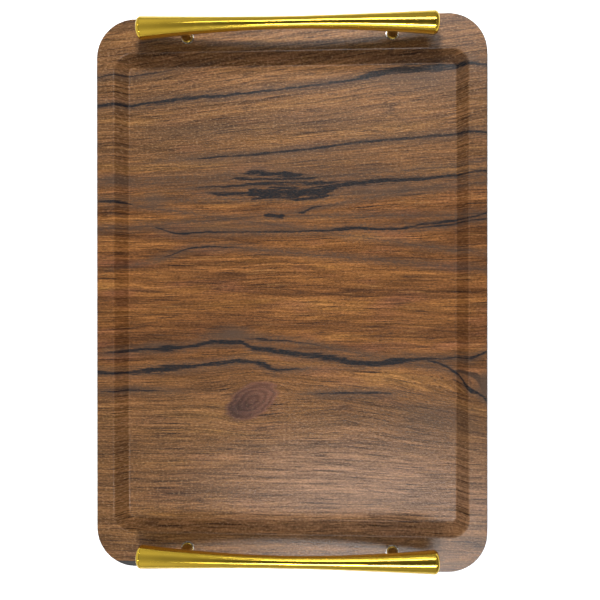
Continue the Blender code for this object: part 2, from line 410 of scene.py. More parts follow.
def flared_side(half, offset):
    places = [half * (1 - 2 * i / BAR_RINGS) for i in range(BAR_RINGS + 1)]
    return [(bar_radius(x) + offset, x) for x in places]


def tube_mesh(y):
    outer = flared_side(BAR_HALF - LIP_BEVEL, 0)
    inner = flared_side(BAR_HALF, -BAR_WALL)[::-1]
    lip_r = BAR_END_R - LIP_BEVEL
    near = arc(lip_r, BAR_HALF - LIP_BEVEL, LIP_BEVEL, 90, 0)[:-1]
    far = arc(lip_r, LIP_BEVEL - BAR_HALF, LIP_BEVEL, 0, -90)[1:]
    return bent(lathe("tube", [*near, *outer, *far, *inner], BAR_STEPS), y)


def saddle_mesh(y, x):
    """The stretch of a bar over one post as a solid, larger by the gap."""
    ends = [x + 4 * POST_R, x - 4 * POST_R]
    length = ends[1] - ends[0]
    places = [ends[0] + length * i / SADDLE_STEPS for i in range(SADDLE_STEPS + 1)]
    side = [(bar_radius(place) + GAP, place) for place in places]
    return bent(lathe("saddle", [(0, ends[0]), *side, (0, ends[1])], BAR_STEPS), y)


def dome_mesh():
    """A domed cap, facing +Z, with the spigot that sits inside the tube."""
    shoulder = CAP_SEAM + LIP_BEVEL
    height = GAP + CAP_DOME - shoulder
    angles = [math.pi / 2 * i / DOME_STEPS for i in range(DOME_STEPS)]
    dome = [
        (BAR_END_R * math.sin(angle) ** DOME_POWER, shoulder + height * math.cos(angle))
        for angle in angles
    ]
    lip = arc(BAR_END_R - LIP_BEVEL, shoulder, LIP_BEVEL, 0, -90)
    spigot = [(SPIGOT_R, CAP_SEAM), (SPIGOT_R, -SPIGOT_LENGTH), (0, -SPIGOT_LENGTH)]
    return lathe("dome", [*dome, *lip, *spigot], BAR_STEPS)


def pillar_mesh(low, high):
    """A tapped pillar on a slightly wider foot, between these heights."""
    edge = POST_EDGE
    shoulder = low + POST_FOOT_HEIGHT
    flare = POST_FOOT_R - POST_R
    profile = [
        (TAPPED_R, high),
        (POST_R, high),
        (POST_R, shoulder + flare),
        *arc(POST_R + flare, shoulder + flare, flare, 180, 270)[1:-1],
        *arc(POST_FOOT_R - edge, shoulder - edge, edge, 90, 0),
        *arc(POST_FOOT_R - edge, low + edge, edge, 0, -90),
        (TAPPED_R, low),
    ]
    return lathe("pillar", profile, POST_STEPS)


def washer_mesh(node):
    """A flat ring with rounded edges that fills the CAD washer's box."""
    low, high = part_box(node)
    radius = (high.x - low.x) / 2
    half = (high.z - low.z) / 2
    edge = WASHER_ROUNDING * half
    profile = [
        *arc(CLEARANCE_R + edge, half - edge, edge, 180, 90),
        *arc(radius - edge, half - edge, edge, 90, 0),
        *arc(radius - edge, edge - half, edge, 0, -90),
        *arc(CLEARANCE_R + edge, edge - half, edge, -90, -180),
    ]
    return moved(lathe("washer", profile, POST_STEPS), (low + high) / 2)


def screw_mesh(node):
    """A pan-head screw, head down, with a cross recess whose arms taper as they go in."""
    low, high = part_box(node)
    seat = low.z + SCREW_HEAD_HEIGHT
    profile = [
        (0, high.z),
        (THREAD_R - SCREW_CHAMFER, high.z),
        (THREAD_R, high.z - SCREW_CHAMFER),
        (THREAD_R, seat),
        *arc(SCREW_HEAD_R - SCREW_EDGE, seat - SCREW_EDGE, SCREW_EDGE, 90, 0),
        *arc(SCREW_HEAD_R - SCREW_CROWN, low.z + SCREW_CROWN, SCREW_CROWN, 0, -90),
        (0, low.z),
    ]
    arms = []
    for size in ((RECESS_LENGTH, RECESS_WIDTH), (RECESS_WIDTH, RECESS_LENGTH)):
        arm = block("arm", (*size, 2 * RECESS_DEPTH), (0, 0, 0), RECESS_TAPER)
        arm.transform(Matrix.Rotation(math.pi, 4, "X"))
        arms.append(moved(arm, (0, 0, low.z)))
    centre = ((low.x + high.x) / 2, (low.y + high.y) / 2, 0)
    screw = merged(carved(lathe("screw", profile, POST_STEPS), *arms))
    return moved(screw, centre)


# Node trees


class Tree:
    """The nodes of a material or a world. Each method adds a node and returns its output."""

    def __init__(self, owner):
        self.owner = owner
        self.graph = owner.node_tree
        self.shader = self.graph.nodes.get("Principled BSDF")

    def put(self, socket, value):
        if isinstance(value, bpy.types.NodeSocket):
            self.graph.links.new(value, socket)
        else:
            socket.default_value = value

    def add(self, kind, **inputs):
        node = self.graph.nodes.new("ShaderNode" + kind)
        for name, value in inputs.items():
            self.put(node.inputs[name.replace("_", " ")], value)
        return node

    def math(self, operation, first, second=0.0, third=0.0):
        node = self.graph.nodes.new("ShaderNodeMath")
        node.operation = operation
        for socket, value in zip(node.inputs, (first, second, third)):
            self.put(socket, value)
        return node.outputs[0]

    def ramp(self, value, start, end, low=0.0, high=1.0):
        """The value's way from start to end, as a clamped way from low to high."""
        node = self.add("MapRange", Value=value)
        for socket, number in zip(node.inputs[1:5], (start, end, low, high)):
            self.put(socket, number)
        return node.outputs[0]

    def scaled(self, vector, factors):
        node = self.graph.nodes.new("ShaderNodeVectorMath")
        node.operation = "MULTIPLY"
        self.put(node.inputs[0], vector)
        self.put(node.inputs[1], factors)
        return node.outputs[0]

    def noise(self, vector, scale=1.0, detail=2.0, roughness=0.5):
        node = self.add("TexNoise", Vector=vector, Scale=scale, Detail=detail)
        self.put(node.inputs["Roughness"], roughness)
        return node.outputs[0]

    def cells(self, vector, scale, smoothness=0.6):
        node = self.graph.nodes.new("ShaderNodeTexVoronoi")
        node.feature = "SMOOTH_F1"
        self.put(node.inputs["Vector"], vector)
        self.put(node.inputs["Scale"], scale)
        self.put(node.inputs["Smoothness"], smoothness)
        return node.outputs["Distance"]

    def mix(self, factor, first, second, blend="MIX"):
        node = self.graph.nodes.new("ShaderNodeMix")
        node.data_type = "RGBA"
        node.blend_type = blend
        self.put(node.inputs[0], factor)
        self.put(node.inputs[6], first)
        self.put(node.inputs[7], second)
        return node.outputs[2]

    def colours(self, value, *stops):
        """A colour ramp with (position, colour) stops."""
        node = self.add("ValToRGB", Fac=value)
        elements = node.color_ramp.elements
        while len(elements) < len(stops):
            elements.new(0.5)
        for element, (position, colour) in zip(elements, stops):
            element.position = position
            element.color = (*colour, 1)
        return node.outputs[0]

    def curve(self, value, points):
        """A smooth curve through (value, result) points that all lie between 0 and 1."""
        node = self.add("FloatCurve", Factor=1.0, Value=value)
        line = node.mapping.curves[0]
        line.points[0].location = points[0]
        line.points[1].location = points[-1]
        for point in points[1:-1]:
            line.points.new(*point)
        for point in line.points:
            point.handle_type = "AUTO_CLAMPED"
        node.mapping.update()
        return node.outputs[0]

    def bump(self, height, distance, normal=None):
        node = self.add("Bump", Height=height, Distance=distance, Strength=1.0)
        if normal:
            self.put(node.inputs["Normal"], normal)
        return node.outputs[0]

    def finish(self, **inputs):
        for name, value in inputs.items():
            self.put(self.shader.inputs[name.replace("_", " ")], value)
        return self.owner


def new_tree(name, kind=Tree):
    material = bpy.data.materials.new(name)
    material.use_nodes = True
    return kind(material)


def place_in_mm(tree):
    """Object coordinates in millimetres."""
    place = tree.add("TexCoord").outputs["Object"]
    return tree.scaled(place, (1000, 1000, 1000))


# The wood print. Its dark veins run along X, and each is a list of (x, y, half width) in mm.

VEINS = [
    # The long vein that climbs to the back right, where it breaks up and thickens
    [(-123, 118, 1.0), (-91, 122, 1.2), (-65, 125, 1.2), (-35, 127, 0.9), (5, 131, 0.7),
     (38, 135, 0.9), (56, 139, 2.0), (70, 141, 2.2), (86, 141.5, 2.4), (101, 142.5, 1.6),
     (123, 140, 0.9)],
    [(-123, 136, 0.3), (-100, 140, 0.5), (-76, 143, 0.2)],
    [(-63, 86, 0.2), (-30, 88, 0.7), (5, 91, 0.8), (50, 96, 0.8), (79, 98, 0.7), (103, 99.5, 0.8),
     (123, 98.5, 0.6)],
    # The black patch and the vein that leaves it
    [(-34, 76, 0.0), (-24, 76.5, 1.6), (-4, 75.5, 1.9), (14, 75, 0.0)],
    [(-42, 72.5, 0.0), (-30, 73, 0.9), (-12, 72.5, 0.6), (8, 73, 0.9), (22, 74, 0.0)],
    [(-60, 67.5, 0.2), (-38, 68.5, 0.6), (-20, 69.5, 1.0), (0, 70, 0.7), (20, 70, 1.2),
     (36, 71, 0.0)],
    [(-52, 64, 0.3), (-40, 63.5, 1.2), (-29, 63.5, 1.0), (-25, 63.5, 3.0), (0, 64, 3.5),
     (16, 64.5, 3.0), (29, 67.5, 1.8), (45, 69.5, 1.6), (58, 71, 1.6), (74, 71.5, 1.2),
     (99, 73.5, 0.9), (123, 75, 0.6)],
    [(-8, 60, 0.0), (4, 60, 1.0), (16, 60.5, 1.2), (24, 62, 0.5), (32, 62.5, 0.0)],
    [(-20, 49, 0.0), (-14, 49.5, 1.2), (-6, 49, 1.3), (-2, 49, 0.0)],
    [(3, 51, 0.0), (8, 51.5, 0.8), (14, 54, 0.7), (25, 56, 0.0)],
    # Two thin veins that run together at the right
    [(-86, 42, 0.3), (-72, 38, 0.6), (-55, 39, 0.5), (-8, 39, 0.5), (16, 39.5, 0.7),
     (45, 41, 1.1), (66, 40.5, 0.8), (86, 43.5, 0.7), (103, 45.5, 0.8), (114, 47, 0.7),
     (123, 49.5, 0.6)],
    [(80, 41, 0.2), (99, 43, 0.6), (123, 45.5, 0.4)],
    [(-82, 23, 0.2), (-57, 29.5, 0.6), (-42, 29.5, 0.4), (-25, 28, 0.0)],
    # The upper crack, its side streak and its branch
    [(-115, -38, 0.8), (-97, -36.5, 0.9), (-76, -35.5, 1.5), (-63, -34, 1.0), (-50, -31.5, 1.3),
     (-33, -31.5, 1.2), (-25, -35, 1.3), (-13, -36.5, 1.4), (0, -38.5, 1.6), (16, -40, 1.7),
     (32, -42.5, 1.8), (43, -44.5, 1.7), (57, -44.5, 1.8), (70, -43, 1.5), (83, -42, 0.9),
     (103, -41, 0.6), (113, -40, 0.9), (123, -35.5, 0.7)],
    [(-26, -29.5, 0.2), (-15, -30, 0.7), (6, -31.5, 0.3), (30, -36, 0.0)],
    [(86, -42.5, 0.4), (99, -47, 0.8), (106, -52, 1.0), (111, -59, 1.2), (117, -62, 0.7),
     (123, -67, 1.6)],
    # The lower crack
    [(-123, -50, 1.0), (-110, -51, 1.0), (-97, -50.5, 1.2), (-80, -48.5, 1.8), (-67, -47.5, 1.5),
     (-55, -46, 1.2), (-42, -45, 1.2), (-33, -43.5, 1.3), (-25, -44, 1.1), (-17, -46, 1.6),
     (-10, -49, 1.3), (6, -48.5, 0.2)],
    [(-118, -62.5, 0.3), (-100, -62.5, 0.6), (-84, -63, 0.3)],
    [(18, -64, 0.3), (40, -63.5, 0.6), (62, -63.5, 0.3)],
    [(-123, 58, 0.0), (-112, 58, 1.0), (-98, 56, 0.0)],
]

# Soft grey-brown smudges: (x, y, half length, half height, strength)
SMUDGES = [
    (-88, 60, 9, 6, 0.7),
    (-110, 72, 10, 4, 0.7),
    (-37, -26, 18, 5, 0.85),
    (-86, -33, 10, 2, 0.5),
    (60, 66, 42, 6, 0.55),
    (80, 134, 34, 9, 0.6),
    (50, 80, 20, 4, 0.4),
    (121, -58, 6, 10, 0.95),
    (92, -80, 30, 16, 0.5),
    (-40, 42, 60, 6, 0.35),
    (-60, 104, 50, 8, 0.3),
    (20, 110, 60, 10, 0.3),
    (-10, 84, 120, 11, 0.42),
]
VEIN_COLOUR = (0.013, 0.013, 0.015, 1)
SMUDGE_COLOUR = (0.080, 0.049, 0.033, 1)
LINE_COLOUR = (0.026, 0.014, 0.010, 1)
RED_COLOUR = (0.210, 0.080, 0.045, 1)
# A greyer brown for both ends: partly the print's tone, partly painted sheen
END_TONE_AND_SHEEN_COLOUR = (0.155, 0.083, 0.038, 1)
# Painted sheen at the front right
PAINTED_SHEEN_COLOUR = (0.340, 0.205, 0.135, 1)
PALE_LINE_COLOUR = (0.360, 0.185, 0.065, 1)
# Painted glints of the lacquer's sheen
PAINTED_GLINT_COLOUR = (0.310, 0.205, 0.115, 1)
KNOT_DARK = (0.046, 0.023, 0.020, 1)
KNOT_PALE = (0.135, 0.060, 0.040, 1)
BAND_COLOURS = [
    (0.30, (0.080, 0.033, 0.013)),
    (0.44, (0.150, 0.060, 0.020)),
    (0.58, (0.215, 0.088, 0.026)),
    (0.72, (0.310, 0.140, 0.036)),
]

# Where the painted sheen at the front right lies, in mm
PAINTED_SHEEN_CENTRE = (48, -120)
PAINTED_SHEEN_REACH = (95, 34)
KNOT_X = -25
KNOT_Y = -69
KNOT_REACH_X = 16
KNOT_REACH_Y = 11
KNOT_TILT = 0.35
KNOT_RINGS = 22
CONTOURS = 6  # lines to each unit of the noise they follow
EMBOSS_DEPTH = 0.00015


class Wood(Tree):
    """The wood print's nodes. x, y and z are in mm; flow runs along and across the grain."""

    def __init__(self, owner):
        super().__init__(owner)
        self.place = place_in_mm(self)
        self.x, self.y, self.z = self.add("SeparateXYZ", Vector=self.place).outputs
        self.flat = self.scaled(self.place, (1, 1, 0))
        self.flow = self.grain_flow()
        self.grit_and_glints = self.stretched(self.flat, 1.7, 0.9, detail=2.0, roughness=0.6)
        self.fibres = self.stretched(self.flow, 16, 1.0, detail=4.0, roughness=0.75)
        self.ragged = self.stretched(self.flow, 16, 2.2, detail=4.0, roughness=0.65)

    def stretched(self, vector, along, across, **settings):
        """Noise whose features are about this many mm long and wide."""
        return self.noise(self.scaled(vector, (1 / along, 1 / across, 1)), **settings)

    def product(self, first, second):
        return self.math("MULTIPLY", first, second)

    def ellipse(self, centre, reach, tilt=0.0):
        """How far out a point is on an ellipse: 0 in the middle, 1 on its edge."""
        dx = self.math("SUBTRACT", self.x, centre[0])
        dy = self.math("SUBTRACT", self.y, centre[1])
        dy = self.math("MULTIPLY_ADD", dx, -tilt, dy)
        across = self.math("DIVIDE", dx, reach[0])
        up = self.math("DIVIDE", dy, reach[1])
        square = self.math("MULTIPLY_ADD", across, across, self.product(up, up))
        return self.math("SQRT", square)

    def grain_flow(self):
        """The grain leans towards the back right, waves a little, bulges round the knot and
        dips to the right of it."""
        lean = self.ramp(self.y, 20, 130, 0.0, 0.11)
        leant = self.math("SUBTRACT", self.y, self.product(lean, self.x))
        wave = self.stretched(self.flat, 70, 45, detail=1.0)
        knot = self.ellipse((KNOT_X, KNOT_Y), (1.5 * KNOT_REACH_X, 1.7 * KNOT_REACH_Y))
        pull = self.math("POWER", 0.35, self.product(knot, knot))
        off_knot = self.math("SUBTRACT", self.y, KNOT_Y)
        bulge = self.product(self.product(pull, off_knot), -0.55)
        past = self.math("MAXIMUM", self.math("SUBTRACT", self.x, 35), 0)
        low = self.product(self.ramp(self.y, -48, -62), self.ramp(self.y, -125, -85))
        bulge = self.math("ADD", bulge, self.product(self.product(past, low), 0.16))
        flow_y = self.math("ADD", leant, self.math("MULTIPLY_ADD", wave, 4.5, bulge))
        return self.add("CombineXYZ", X=self.x, Y=flow_y).outputs[0]

    def grain_lines(self, stretch, spacing, thickness):
        """Thin lines along the grain: the contours of a stretched noise."""
        field = self.stretched(self.flow, stretch, spacing, detail=2.0)
        phase = self.math("FRACT", self.product(field, CONTOURS))
        off = self.math("ABSOLUTE", self.math("SUBTRACT", phase, 0.5))
        return self.ramp(off, 0.0, thickness, 1.0, 0.0)

    def grain_bands(self, bands):
        """Broad bands of colour under streaks and fibres: redder in places, greyer at the ends,
        which is partly painted sheen, and paler at the front right, which is painted sheen."""
        streaks = self.stretched(self.flow, 90, 2.6, detail=5.0, roughness=0.66)
        red = self.stretched(self.flow, 60, 16, scale=1.31, detail=1.0)
        colour = self.colours(bands, *BAND_COLOURS)
        colour = self.mix(self.ramp(red, 0.55, 0.75, 0.0, 0.5), colour, RED_COLOUR)
        # Towards both ends the print turns a greyer brown: partly its own tone, partly painted
        # sheen.
        off_middle = self.math("ABSOLUTE", self.math("ADD", self.y, -10))
        colour = self.mix(self.ramp(off_middle, 40, 90, 0.0, 0.6), colour, END_TONE_AND_SHEEN_COLOUR)
        # A pale patch at the front right is painted sheen.
        out = self.ellipse(PAINTED_SHEEN_CENTRE, PAINTED_SHEEN_REACH)
        colour = self.mix(self.ramp(out, 0.3, 1.3, 0.40, 0.0), colour, PAINTED_SHEEN_COLOUR)
        colour = self.mix(1.0, colour, self.ramp(streaks, 0.32, 0.68, 0.55, 1.45), "MULTIPLY")
        return self.mix(1.0, colour, self.ramp(self.fibres, 0.30, 0.70, 0.55, 1.42), "MULTIPLY")

    def grain_colour(self):
        """The bands with thin lines, hairs, pores, and short dark and pale checks over them."""
        bands = self.stretched(self.flow, 150, 13, detail=3.0, roughness=0.55)
        pores = self.stretched(self.flow, 5, 0.8, scale=1.13, detail=1.0)
        checks = self.stretched(self.flow, 34, 0.9, scale=1.07, detail=2.0)
        colour = self.grain_bands(bands)
        line_strength = self.ramp(bands, 0.35, 0.65, 0.75, 0.4)
        lines = self.product(self.grain_lines(190, 12, 0.08), line_strength)
        hair_strength = self.ramp(self.y, 35, 80, 0.42, 0.72)
        hairs = self.product(self.grain_lines(100, 4, 0.11), hair_strength)
        darker = self.math("MAXIMUM", lines, hairs)
        darker = self.math("MAXIMUM", darker, self.ramp(pores, 0.60, 0.68, 0.0, 0.5))
        darker = self.math("MAXIMUM", darker, self.ramp(checks, 0.61, 0.655, 0.0, 0.92))
        colour = self.mix(darker, colour, LINE_COLOUR)
        colour = self.mix(self.ramp(checks, 0.38, 0.31, 0.0, 0.35), colour, PALE_LINE_COLOUR)
        return self.mix(1.0, colour, self.ramp(self.grit_and_glints, 0.30, 0.70, 0.68, 1.34), "MULTIPLY")

    def with_smudges(self, colour):
        smudged = 0.0
        for cx, cy, reach_x, reach_y, strength in SMUDGES:
            out = self.ellipse((cx, cy), (reach_x, reach_y))
            out = self.math("MULTIPLY_ADD", self.ragged, 1.6, out)
            smudged = self.math("MAXIMUM", smudged, self.ramp(out, 1.1, 2.0, strength, 0.0))
        return self.mix(smudged, colour, SMUDGE_COLOUR)

    def with_knot(self, colour):
        """A ringed knot, darker towards its lower left."""
        out = self.ellipse((KNOT_X, KNOT_Y), (KNOT_REACH_X, KNOT_REACH_Y), KNOT_TILT)
        out = self.math("MULTIPLY_ADD", self.ragged, 0.5, out)
        rings = self.math("SINE", self.product(out, KNOT_RINGS))
        deep = self.ellipse((KNOT_X - 9, KNOT_Y - 5), (14, 10), KNOT_TILT)
        knot = self.mix(self.ramp(deep, 0.2, 1.6), KNOT_DARK, KNOT_PALE)
        knot = self.mix(1.0, knot, self.ramp(rings, -1, 1, 0.72, 1.22), "MULTIPLY")
        return self.mix(self.ramp(out, 1.15, 1.40, 0.92, 0.0), colour, knot)

    def vein(self, x_share, y, width_change, points):
        """How far inside a dark vein's edge a point is, in mm."""
        half_x = 1000 * HALF_X
        half_y = 1000 * HALF_Y
        shares = [(px + half_x + 1) / (2 * half_x + 2) for px, _, _ in points]
        path = [(share, (py + half_y) / (2 * half_y)) for share, (_, py, _) in zip(shares, points)]
        widths = [(share, width / 10) for share, (_, _, width) in zip(shares, points)]
        if shares[0] > 0.02:
            widths.insert(0, (shares[0] - 0.01, 0))
        if shares[-1] < 0.98:
            widths.append((shares[-1] + 0.01, 0))
        centre = self.math("MULTIPLY_ADD", self.curve(x_share, path), 2 * half_y, -half_y)
        distance = self.math("ABSOLUTE", self.math("SUBTRACT", y, centre))
        half = self.product(self.curve(x_share, widths), 10)
        return self.math("SUBTRACT", self.product(half, width_change), distance)

    def inside_veins(self):
        """How far inside the edge of any vein a point is, in mm. The edges are ragged."""
        sway = self.stretched(self.flat, 10, 8, detail=2.0)
        jittered_y = self.math("ADD", self.y, self.math("MULTIPLY_ADD", sway, 1.6, -0.8))
        feather = self.stretched(self.flow, 15, 1.0, detail=3.0, roughness=0.6)
        width_change = self.ramp(feather, 0.30, 0.70, 0.15, 1.85)
        half_x = 1000 * HALF_X + 1
        x_share = self.ramp(self.x, -half_x, half_x)
        inside = -100.0
        for points in VEINS:
            found = self.vein(x_share, jittered_y, width_change, points)
            inside = self.math("MAXIMUM", inside, found)
        return inside

    def with_veins(self, colour):
        """Dark veins with a grey haze beside them, and painted glints over all towards the ends.
        """
        inside = self.inside_veins()
        speckle = self.stretched(self.flat, 2.4, 0.9, detail=1.0)
        haze = self.product(self.ramp(inside, -4.5, 0.0, 0.0, 1.5), self.ragged)
        haze = self.product(haze, self.ramp(speckle, 0.35, 0.6, 0.5, 1.1))
        colour = self.mix(haze, colour, SMUDGE_COLOUR)
        core = self.ramp(inside, -0.35, 0.40)
        core = self.product(core, self.ramp(speckle, 0.36, 0.54, 0.82, 1.0))
        colour = self.mix(core, colour, VEIN_COLOUR)
        # Pale flecks towards the ends are painted glints, as if the embossing caught the light.
        glints_at_ends = self.ramp(self.math("ABSOLUTE", self.y), 45, 105, 0.1, 0.5)
        glints_at_ends = self.product(glints_at_ends, self.ramp(core, 0, 1, 1.0, 0.25))
        painted_glints = self.product(self.ramp(self.grit_and_glints, 0.56, 0.72), glints_at_ends)
        return self.mix(painted_glints, colour, PAINTED_GLINT_COLOUR)

    def emboss(self):
        """How much texture the press leaves: on the floor and the rim, and not on the walls."""
        floor = 1000 * FLOOR_Z
        rim = 1000 * RIM_Z
        on_floor = self.ramp(self.z, floor + 0.02, floor + 0.25, 1.0, 0.0)
        on_rim = self.ramp(self.z, rim - 0.25, rim - 0.02, 0.0, 0.55)
        return self.math("ADD", on_floor, on_rim)

    def relief(self, emboss):
        pebbles = self.noise(self.place, scale=1.1, detail=2.5, roughness=0.65)
        grains = self.cells(self.place, 0.9)
        relief = self.product(self.math("MULTIPLY_ADD", grains, -0.4, pebbles), emboss)
        return self.math("MULTIPLY_ADD", self.fibres, 0.10, relief)


def wood_material():
    """Printed wood under an embossed lacquer."""
    wood = new_tree("wood_print", Wood)
    colour = wood.with_veins(wood.with_knot(wood.with_smudges(wood.grain_colour())))
    emboss = wood.emboss()
    broad = wood.noise(wood.flat, scale=1 / 55, detail=1.0)
    gloss = wood.math("MULTIPLY_ADD", broad, 0.08, 0.22)
    return wood.finish(
        Base_Color=colour,
        Roughness=wood.math("MULTIPLY_ADD", emboss, 0.03, gloss),
        Normal=wood.bump(wood.relief(emboss), EMBOSS_DEPTH),
        Specular_IOR_Level=0.22,
    )


# Other finishes


def shell_material():
    """Satin black moulded plastic with a fine leather grain and faint scuffs."""
    tree = new_tree("black_shell")
    place = place_in_mm(tree)
    grain = tree.cells(place, 1.1, 0.35)
    pits = tree.noise(place, scale=3.0, detail=2.0)
    scuffs = tree.noise(tree.scaled(place, (1 / 3, 1 / 22, 1 / 3)), detail=5.0, roughness=0.7)
    patches = tree.noise(place, scale=1 / 40, detail=2.0)
    worn = tree.ramp(scuffs, 0.60, 0.72, 0.0, 0.35)
    colour = tree.mix(patches, (0.020, 0.019, 0.019, 1), (0.034, 0.032, 0.031, 1))
    colour = tree.mix(worn, colour, (0.075, 0.072, 0.070, 1))
    relief = tree.math("MULTIPLY_ADD", pits, 0.35, grain)
    roughness = tree.math("MULTIPLY_ADD", patches, 0.14, 0.42)
    return tree.finish(
        Base_Color=colour, Roughness=roughness, Normal=tree.bump(relief, 0.00006)
    )


def gold_material():
    """Bright gold plate on a polished tube that isn't quite true, rougher down by the rim and
    darkened there by painted shade.
    """
    tree = new_tree("gold_plate")
    place = place_in_mm(tree)
    waves = tree.noise(tree.scaled(place, (1 / 26, 1 / 12, 1 / 12)), detail=1.0)
    lines = tree.noise(tree.scaled(place, (1 / 20, 1 / 0.6, 1 / 0.6)), detail=2.0)
    smears = tree.noise(place, scale=1 / 6, detail=4.0, roughness=0.65)
    tone = tree.noise(place, scale=1 / 30, detail=1.0)
    colour = tree.mix(tone, (0.76, 0.51, 0.050, 1), (0.84, 0.59, 0.075, 1))
    height = tree.add("SeparateXYZ", Vector=place).outputs["Z"]
    rim = 1000 * RIM_Z
    # Painted shade: the gold turns dark brown near the rim, on the posts and the bars' undersides.
    # It is also made rougher there.
    shade_and_dullness = tree.ramp(height, rim + 1, rim + 9, 0.8, 0.0)
    colour = tree.mix(shade_and_dullness, colour, (0.200, 0.115, 0.030, 1))
    roughness = tree.math("MULTIPLY_ADD", tree.ramp(smears, 0.35, 0.75), 0.08, 0.13)
    roughness = tree.math("MULTIPLY_ADD", shade_and_dullness, 0.2, roughness)
    normal = tree.bump(lines, 0.000005, tree.bump(waves, 0.0003))
    return tree.finish(Base_Color=colour, Metallic=1.0, Roughness=roughness, Normal=normal)


def steel_material():
    """Zinc-plated steel, with the plating's faint patches and a fine grain."""
    tree = new_tree("zinc_steel")
    place = place_in_mm(tree)
    spangle = tree.cells(place, 0.9, 0.2)
    grain = tree.noise(place, scale=4.0, detail=3.0)
    colour = tree.mix(spangle, (0.48, 0.49, 0.51, 1), (0.66, 0.66, 0.65, 1))
    roughness = tree.math("MULTIPLY_ADD", grain, 0.22, 0.22)
    return tree.finish(
        Base_Color=colour, Metallic=1.0, Roughness=roughness, Normal=tree.bump(grain, 0.00001)
    )


def nylon_material():
    """Clear nylon, clouded in places."""
    tree = new_tree("clear_nylon")
    place = place_in_mm(tree)
    cloud = tree.noise(place, scale=0.8, detail=3.0)
    colour = tree.mix(cloud, (0.55, 0.49, 0.41, 1), (0.74, 0.70, 0.64, 1))
    roughness = tree.math("MULTIPLY_ADD", cloud, 0.2, 0.12)
    return tree.finish(
        Base_Color=colour,
        Roughness=roughness,
        Normal=tree.bump(cloud, 0.00006),
        Transmission_Weight=tree.ramp(cloud, 0.62, 0.40, 0.6, 0.92),
        IOR=1.53,
    )


# Building the tray

ENDS = {"back": 1, "front": -1}
SIDES = {"left": -1, "right": 1}
CORNERS = [f"{end}_{side}" for end in ENDS for side in SIDES]


def build_layers():
    shell = layer_mesh("shell", SHELL_TOP, SHELL_BOTTOM, 0, SHELL_EDGE_BEVEL)
    sheet = layer_mesh("sheet", 0, SHEET_THICKNESS, SHEET_INSET, SHEET_EDGE_BEVEL)
    shell = carved(shell, *screw_holes())
    sheet = carved(sheet, runout_cutter(), *screw_holes())
    add_piece("moulded_shell", shell, shell_material(), "black_shell", "tray_shell")
    add_piece("printed_sheet", sheet, wood_material(), "wood_print", "wood_print_sheet")


def build_handle(end, gold):
    y = handle_y(end)
    profile = [(0, 0), (TAPPED_R, 0), (TAPPED_R, -2 * BAR_END_R), (0, -2 * BAR_END_R)]
    bores = []
    for side in SIDES.values():
        x = side * abs(post_place(f"{end}_right")[0])
        bores.append(moved(lathe("bore", profile, POST_STEPS), on_arc(angle_at(x), y)))
    tube = carved(tube_mesh(y), *bores)
    add_piece(f"tube_{end}", tube, gold, "gold_plate", f"handle_bar_{end}")
    for side_name, side in SIDES.items():
        name = f"{end}_{side_name}"
        angle = side * BAR_HALF / BEND_RADIUS
        dome = moved(dome_mesh(), on_arc(angle, y), side * math.pi / 2 + angle)
        add_piece(f"dome_{name}", dome, gold, "gold_plate", f"end_cap_{name}")


def build_post(name, gold, steel, nylon):
    x, y = post_place(name)
    low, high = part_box(f"handle_post_{name}")
    pillar = moved(pillar_mesh(low.z, high.z + BAR_MIDDLE_R), (x, y, 0))
    pillar = carved(pillar, saddle_mesh(y, BEND_RADIUS * angle_at(x)))
    add_piece(f"pillar_{name}", pillar, gold, "gold_plate", f"handle_post_{name}")
    ring = washer_mesh(f"foot_washer_{name}")
    add_piece(f"nylon_ring_{name}", ring, nylon, "clear_nylon", f"foot_washer_{name}")
    ring = washer_mesh(f"screw_washer_{name}")
    add_piece(f"steel_ring_{name}", ring, steel, "zinc_steel", f"screw_washer_{name}")
    screw = screw_mesh(f"mounting_screw_{name}")
    add_piece(f"pan_screw_{name}", screw, steel, "zinc_steel", f"mounting_screw_{name}")
    for kept in (f"post_stud_{name}", f"bar_insert_{name}"):
        node = frame["nodes"][kept]
        node.data.materials.clear()
        node.data.materials.append(steel)


# Studio


def add_light(name, place, length, width, power, target=(0, 0, 0)):
    """A rectangular light that faces the target, with its length along X where that can be.
    The camera doesn't see it."""
    light = bpy.data.lights.new(name, "AREA")
    light.shape = "RECTANGLE"
    light.size = length
    light.size_y = width
    light.energy = power
    lamp = link(name, light)
    lamp.location = place
    away = Vector(place) - Vector(target)
    across = Vector((0, 1, 0)).cross(away) if abs(away.x) < abs(away.z) else Vector((0, 1, 0))
    across.normalize()
    away.normalize()
    turn = Matrix((across, away.cross(across), away)).transposed()
    lamp.rotation_euler = turn.to_euler()
    lamp.visible_camera = False
    return lamp


def light_end(end, side, other_pieces):
    """A lamp beyond this end for the bar's shadow, a long light beside it for the print's sheen,
    and a strip over the end for the handle's long highlights."""
    size = (LAMP_LENGTH, LAMP_WIDTH)
    place = (LAMP_X, side * LAMP_Y, LAMP_Z)
    aim = (0, side * LAMP_AIM_Y, 0)
    lamp = add_light(f"{end}_lamp", place, *size, LAMP_POWERS[end], aim)
    lamp.data.spread = math.radians(LAMP_SPREAD)
    lamp.visible_glossy = False
    size = (SHEEN_LENGTH, SHEEN_WIDTH)
    place = (SHEEN_X, side * SHEEN_Y, LAMP_Z)
    sheen = add_light(f"{end}_sheen", place, *size, SHEEN_POWERS[end])
    sheen.visible_diffuse = False
    sheen.light_linking.receiver_collection = other_pieces
    size = (STRIP_LENGTH, STRIP_WIDTH)
    place = (STRIP_X, side * STRIP_Y, STRIP_Z)
    strip = add_light(f"{end}_strip", place, *size, STRIP_POWER, (STRIP_X, 0, 0))
    strip.visible_diffuse = False


